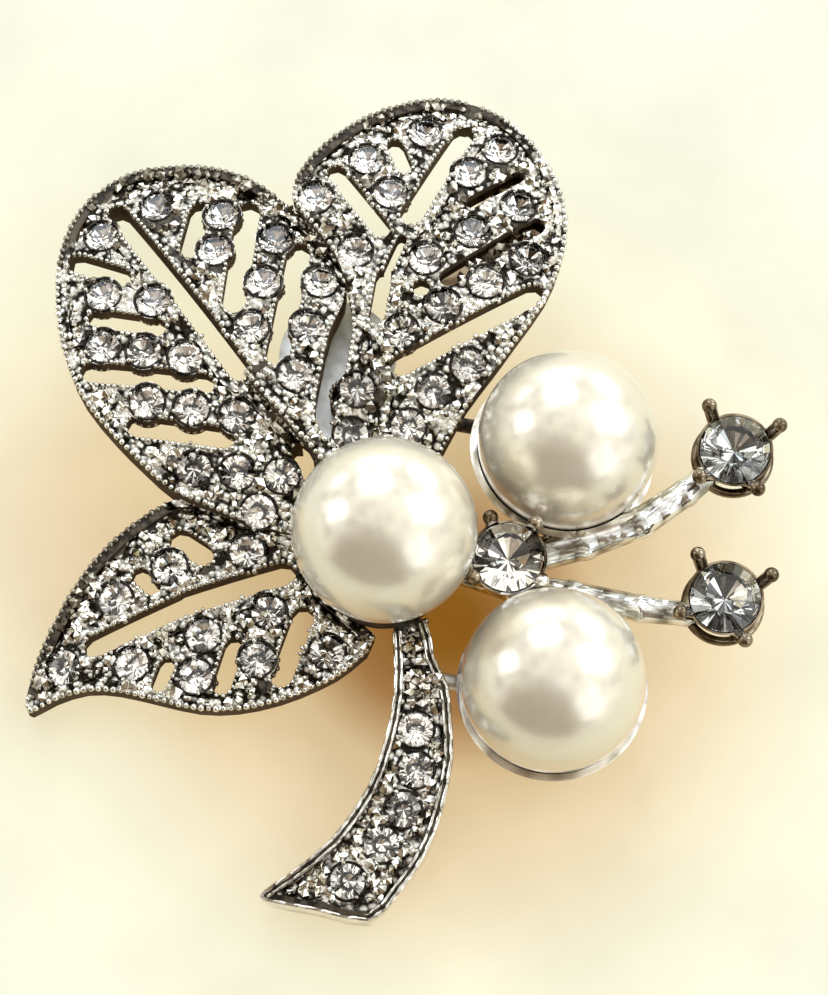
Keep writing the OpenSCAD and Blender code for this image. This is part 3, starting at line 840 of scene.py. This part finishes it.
# %% Runs and wires
def runs(line, wanted, bridge=12, shortest=7):
    keep = [wanted(spot) for spot in line]
    run = []
    for k, spot in enumerate(line + [None]):
        gap = any(keep[max(0, k - bridge):k]) and any(keep[k + 1:k + 1 + bridge])
        if spot is not None and (keep[k] or gap):
            run.append(spot)
        else:
            if len(run) >= shortest:
                yield run
            run = []


def wire(bm, points, radius):
    curve = bpy.data.curves.new("ridge", "CURVE")
    curve.dimensions = "3D"
    curve.bevel_depth = radius
    curve.bevel_resolution = 1
    curve.use_fill_caps = True
    spline = curve.splines.new("POLY")
    spline.points.add(len(points) - 1)
    for point, co in zip(spline.points, points):
        point.co = (*co, 1)
    holder = bpy.data.objects.new("ridge", curve)
    bm.from_mesh(holder.to_mesh())
    holder.to_mesh_clear()
    bpy.data.objects.remove(holder)
    bpy.data.curves.remove(curve)


def inset_line(run, inset):
    ways = [wall_way(spot) for spot in run]
    soft = [sum(ways[max(0, k - 4):k + 5], Vector()).normalized() for k in range(len(run))]
    return [spot - inset * way for spot, way in zip(run, soft)]


print("the first run of spots in the leaves has", len(next(runs(spots, in_leaf))))

# %% [markdown]
# ## Ridges of the stem
# Each rail of the stem is a groove, painted dark as painted shade, between two thin polished
# ridges. They run along its outer edge only, where the ground beyond lies far below.

# %% Stem ridges
RIDGES = ((0.10 * MM, 0.14 * MM), (0.46 * MM, 0.11 * MM))  # inset and radius of each
BEYOND = 0.3 * MM
OUTER_DROP = 2 * MM
HEART_CLEAR = 5.2 * MM


def stem_edge(spot):
    beyond = spot + BEYOND * wall_way(spot)
    outer = height_at(beyond.x, beyond.y) < spot.z - OUTER_DROP
    return outer and on_stem(spot) and (level(spot) - level(heart)).length > HEART_CLEAR


ridges = bmesh.new()
for line in lines:
    for run in runs(stepped(line, 0.2 * MM), stem_edge):
        for inset, radius in RIDGES:
            wire(ridges, inset_line(run, inset), radius)
bmesh.ops.recalc_face_normals(ridges, faces=ridges.faces)
piece("stem_ridges", ridges, [metals["polished_grain"]], "plated_metal", sharp_above=60)

# %% [markdown]
# ## Grains on the stem
# The floor of the stem's channel is cast rougher, with slightly larger grains than the leaves.
# They keep clear of the rails, the stones and the lower cup.

# %% Stem grains
ROWS, COLUMNS = 34, 24
FIRST_ACROSS, FIRST_DOWN = -8.4, 5.0  # of the first grain, in mm from the heart
STEP_ACROSS, STEP_DOWN = 0.62, 0.55
STEM_STRAY = 0.15
RAIL_CLEAR, STEM_STONES_CLEAR, CUP_CLEAR = 0.68 * MM, 1.38 * MM, 1.4 * MM
stem_rim = tree_of([level(spot) for spot in spots
                    if stem_edge(spot) and stone_distance(spot) > GRAINS_CLEAR])
cup_middle, cup_radius = pearl_places[2]


def in_channel(spot):
    return (on_stem(spot) and stem_rim.find(level(spot))[2] > RAIL_CLEAR
            and stone_distance(spot) > STEM_STONES_CLEAR
            and (level(spot) - level(cup_middle)).length > cup_radius + CUP_CLEAR)


stem_grains = bmesh.new()
for row in range(ROWS):
    for column in range(COLUMNS):
        across = FIRST_ACROSS + STEP_ACROSS * (column + 0.5 * (row % 2)) + jitter(STEM_STRAY)
        down = FIRST_DOWN + STEP_DOWN * row + jitter(STEM_STRAY)
        spot = level_spot(heart.x + across * MM, heart.y - down * MM)
        if spot and in_channel(spot):
            turn = tumbled()
            stamp(stem_grains, dice.choice(lumps),
                  Matrix.Translation(spot) @ turn @ Matrix.Scale(dice.uniform(0.8, 1.4), 4))
piece("stem_grains", stem_grains, [metals["cast_grain"]], "plated_metal", smooth=False)

# %% [markdown]
# ## The ladder's studs
# At its top the stem crosses into a short ladder, whose bars carry pairs of square studs.

# %% Ladder studs
def stud(side, height):
    bm = bmesh.new()
    bmesh.ops.create_cube(bm, size=1.0, matrix=Matrix.Diagonal((1.3 * side, side, height, 1)))
    bmesh.ops.bevel(bm, geom=bm.edges[:], offset=0.22 * side, offset_type="OFFSET", segments=1,
                    profile=0.5, affect="EDGES", material=-1)
    return mesh_of(bm, "stud_pattern")


LADDER_RIGHT, LADDER_DOWN = 2.2, 8.0  # in mm from the heart
STUD_APART, BAR_APART = 0.5, 0.85
STUD_UP = 0.05 * MM
studs = bmesh.new()
stud_pattern = stud(0.6 * MM, 0.5 * MM)
for row in range(3):
    for side in (-1, 1):
        x = heart.x + (LADDER_RIGHT + STUD_APART * side) * MM
        y = heart.y - (LADDER_DOWN + BAR_APART * row) * MM
        lean = Matrix.Rotation(jitter(0.12), 4, "Y") @ Matrix.Rotation(jitter(0.15), 4, "X")
        stamp(studs, stud_pattern, Matrix.Translation((x, y, height_at(x, y) + STUD_UP)) @ lean)
piece("ladder_studs", studs, [metals["polished_grain"]], "plated_metal", smooth=False)

# %% [markdown]
# ## Patches of the casting
# The plate isn't the same everywhere. The cups and the stem's outer walls are polished, the
# claws are worn to the bronze and painted darker as a painted dark reflection, the stalks were
# hammered in the wax, and the rest is granular. The leaves' walls, the webs, the stem's rails and
# inner walls and small sunken patches are painted dark as painted shade. The faces are taken in
# patches that bend by less than 20 degrees.

# %% Finish of a patch
CASTING_FINISHES = ("granular_ground", "polished_plate", "hammered_plate", "painted_shade_wall",
                    "painted_shade_groove", "cast_back", "worn_bronze_painted_dark", "channel_ground")
GROUND, POLISHED, HAMMERED, SHADE_WALL, SHADE_GROOVE, BACK, BRONZE_PAINTED_DARK, CHANNEL = range(len(CASTING_FINISHES))
PATCH_BEND = math.radians(20)
CLAWS_REACH, CLAWS_BELOW = 4.2 * MM, 2 * MM
UNDERSIDE, STEM_WALL, LEAF_WALL = -0.2, 0.5, 0.35  # how far up the faces of a patch look
RAIL_EDGE, RAIL_WIDTH = 0.2 * MM, 0.42 * MM
GROOVE_FLOOR = 14 * MM * MM


def flat_neighbours(face):
    return [other for edge in face.edges for other in edge.link_faces
            if len(edge.link_faces) == 2 and edge.calc_face_angle(0) < PATCH_BEND]


def finish_of(patch):
    area = sum(face.calc_area() for face in patch)
    middle = sum((face.calc_area() * face.calc_center_median() for face in patch), Vector()) / area
    up = sum(face.calc_area() * face.normal.z for face in patch) / area
    corners = list({vert.index: vert.co for face in patch for vert in face.verts}.values())
    # The claws are bronze painted dark: a painted dark reflection.
    for claw in claw_places.values():
        near = all((level(co) - level(claw)).length < CLAWS_REACH for co in corners)
        if near and middle.z > claw.z - CLAWS_BELOW:
            return BRONZE_PAINTED_DARK
    if within(middle, "lower web") or within(middle, "upper web"):
        # The webs are painted near black: painted shade.
        return SHADE_GROOVE
    if up < UNDERSIDE:
        return BACK
    if within(middle, "stalks"):
        return HAMMERED
    if on_stem(middle):
        from_rim = sum(stem_rim.find(level(co))[2] for co in corners) / len(corners)
        # The stem's inner walls and rail tops are painted near black: painted shade.
        if abs(up) < STEM_WALL:
            return POLISHED if from_rim < RAIL_EDGE else SHADE_GROOVE
        return SHADE_GROOVE if from_rim < RAIL_WIDTH else CHANNEL
    # Steep leaf walls are painted dark brown: painted shade.
    if up < LEAF_WALL:
        return SHADE_WALL
    # Small sunken patches are painted dark bronze: painted shade.
    return BRONZE_PAINTED_DARK if area < GROOVE_FLOOR and sunken(middle) else GROUND


patches = list(groups(casting.faces, flat_neighbours))
print(len(patches), "patches, the largest of", max(len(patch) for patch in patches), "faces")

# %% [markdown]
# ## Dressing the casting
# Each patch takes its finish from what it lies next to. Two things are told face by face: the
# cups round the pearls are polished, and the ground along the far rims of the leaves is painted
# dark, a painted dark reflection.

# %% Finish of each region
CUP_DEPTH = 0.7 * MM
CUP_FACING = (0.85, 0, 0)


def in_cup(face):
    for (middle, radius), least in zip(pearl_places, CUP_FACING):
        away = face.calc_center_median() - middle
        if away.length < radius + CUP_DEPTH and abs(face.normal.dot(away.normalized())) > least:
            return True
    return False


tally = dict.fromkeys(CASTING_FINISHES, 0)
for patch in patches:
    index = finish_of(patch)
    for face in patch:
        # The ground by the far rims is painted near black: a painted dark reflection.
        far = index == GROUND and far_rim(face.calc_center_median())
        face.material_index = POLISHED if in_cup(face) else SHADE_GROOVE if far else index
        tally[CASTING_FINISHES[face.material_index]] += 1
print("faces of each metal:", tally)
piece("leaf_casting", casting, [metals[name] for name in CASTING_FINISHES], "plated_metal",
      ["leaf_spray"], sharp_above=35)

# %% [markdown]
# ## The pin on the back
# The bar is plain strip and the needle plain wire, so the frame's solid keeps its shape and takes
# a finish with faint rolling marks.

# %% Pin back
pin = merged_copy("pin_back")
piece("pin_and_bar", pin, [metals["pin_strip"]], "pin_steel", ["pin_back"], sharp_above=30)

# %% [markdown]
# ## Floor
# The floor is plain pale cream and glows softly, a painted glow. Near the brooch a painted shade
# makes its colour and its glow warmer and darker. Its depth follows from how far a spot is from two
# places: below the pearls, and in the notch between the left and the low leaf.

# %% Floor
# Both colours darken and warm towards the brooch as painted shade; the fill is a painted glow, not a
# lamp.
PAINTED_FLOOR_SHADES = [  # share of the way out, colour that takes the light, colour of the soft fill
    (0.05, (0.11, 0.06, 0.01), (0.22, 0.09, 0.01)),
    (0.16, (0.18, 0.12, 0.07), (0.32, 0.16, 0.05)),
    (0.26, (0.26, 0.24, 0.20), (0.56, 0.40, 0.20)),
    (0.44, (0.21, 0.22, 0.21), (0.69, 0.53, 0.29)),
    (0.66, (0.13, 0.16, 0.17), (0.84, 0.78, 0.54)),
    (1.0, (0.09, 0.10, 0.10), (0.90, 0.88, 0.70)),
]
HALF_FLOOR = 1.5
floor_finish, tree, place = finish("cream_table")


def away_from(spot):
    sockets = {0: place, 1: (spot.x, spot.y, 0)}
    return add_node(tree, "ShaderNodeVectorMath", sockets, operation="DISTANCE").outputs["Value"]


def mottled(colour):
    sockets = {0: colour, "Scale": mottle}
    return add_node(tree, "ShaderNodeVectorMath", sockets, operation="SCALE").outputs[0]


below_pearls = spread(tree, away_from(heart + Vector((4.0, -3.0, 0)) * MM), 0.0, 40 * MM)
in_notch = spread(tree, away_from(heart + Vector((-18.8, 3.0, 0)) * MM), 0.0, 42 * MM, 0.33, 1.1)
way_out = add_node(tree, "ShaderNodeMath", {0: below_pearls, 1: in_notch, 2: 0.12},
                   operation="SMOOTH_MIN").outputs[0]
mottle = spread(tree, speckle(tree, place, 60.0, 5.0), 0.35, 0.65, 0.93, 1.05)
lit = ramp(tree, way_out, [(share, colour) for share, colour, glow_colour in PAINTED_FLOOR_SHADES])
painted_glow = ramp(tree, way_out, [(share, glow_colour) for share, colour, glow_colour in PAINTED_FLOOR_SHADES])
surface_of(tree, {"Base Color": mottled(lit), "Roughness": 0.9, "Specular IOR Level": 0.0,
                  "Emission Color": mottled(painted_glow), "Emission Strength": 1.0})

bm = bmesh.new()
bmesh.ops.create_grid(bm, x_segments=2, y_segments=2, size=HALF_FLOOR)
floor_mesh = mesh_of(bm, "table_top")
floor_mesh.materials.append(floor_finish)
table = new_object("table_top", floor_mesh)
print("the floor is", 2 * HALF_FLOOR, "m square")

# %% [markdown]
# ## Windows
# Daylight comes from several windows, which show as soft patches in the pearls. Each area light
# stands half a metre off, where such a patch comes from.

# %% Windows
WINDOWS = {  # way from the brooch, width and height in metres, brightness
    "far_window": ((-0.10, 0.965, 0.26), 0.30, 0.12, 2.9),
    "ceiling_window": ((-0.155, 0.67, 0.725), 0.30, 0.24, 2.9),
    "far_right_window": ((0.577, 0.78, 0.26), 0.22, 0.17, 2.9),
    "far_left_window": ((-0.677, 0.687, 0.27), 0.14, 0.12, 1.8),
    "left_window": ((-0.832, 0.187, 0.524), 0.18, 0.20, 2.9),
    "right_window": ((0.748, 0.239, 0.618), 0.26, 0.34, 2.9),
    "near_right_glow": ((0.666, -0.585, 0.462), 0.30, 0.30, 1.2),
}
WINDOW_DISTANCE = 0.5
DAYLIGHT = (0.78, 0.89, 1.0)
for name, (way, width, height, bright) in WINDOWS.items():
    lamp = bpy.data.lights.new(name, "AREA")
    lamp.shape = "RECTANGLE"
    lamp.size, lamp.size_y = width, height
    lamp.energy = bright * math.pi * width * height
    lamp.color = DAYLIGHT
    holder = new_object(name, lamp)
    holder.location = AIM + WINDOW_DISTANCE * Vector(way).normalized()
    holder.rotation_euler = (holder.location - AIM).to_track_quat("Z", "Y").to_euler()
print(len(WINDOWS), "windows")

# %% [markdown]
# ## The room
# Polished metal and foil need light and dark things round them to mirror. The room's walls are
# broad patches of white and near black, and on the near left there is a dim brown corner, which
# makes the darker patch low in each pearl.

# %% Room
DIM_CORNER = Vector((-0.28, -0.88, 0.38)).normalized()
DIM_BROWN = (0.16, 0.105, 0.055)
world = bpy.data.worlds.new("room")
world.use_nodes = True
tree = world.node_tree
tree.nodes.clear()
way = add_node(tree, "ShaderNodeTexCoord").outputs["Generated"]
towards = add_node(tree, "ShaderNodeVectorMath", {0: way, 1: DIM_CORNER}, operation="DOT_PRODUCT")
shade = spread(tree, towards.outputs["Value"], 0.5, 0.85, 1.0, 0.1, interpolation_type="SMOOTHSTEP")
walls = ramp(tree, speckle(tree, way, 7.0, 1.0), [
    (0.43, (0.04, 0.032, 0.025)), (0.48, (1.0, 0.98, 0.94))])
light = add_node(tree, "ShaderNodeMix", {"Factor": shade, "A": (*DIM_BROWN, 1), "B": walls},
                 data_type="RGBA")
sky = add_node(tree, "ShaderNodeBackground", {"Color": light.outputs["Result"], "Strength": 1.5})
add_node(tree, "ShaderNodeOutputWorld", {"Surface": sky.outputs[0]})
bpy.context.scene.world = world
bpy.context.scene.view_settings.view_transform = "Standard"
print("the room's light has", len(tree.nodes), "nodes")
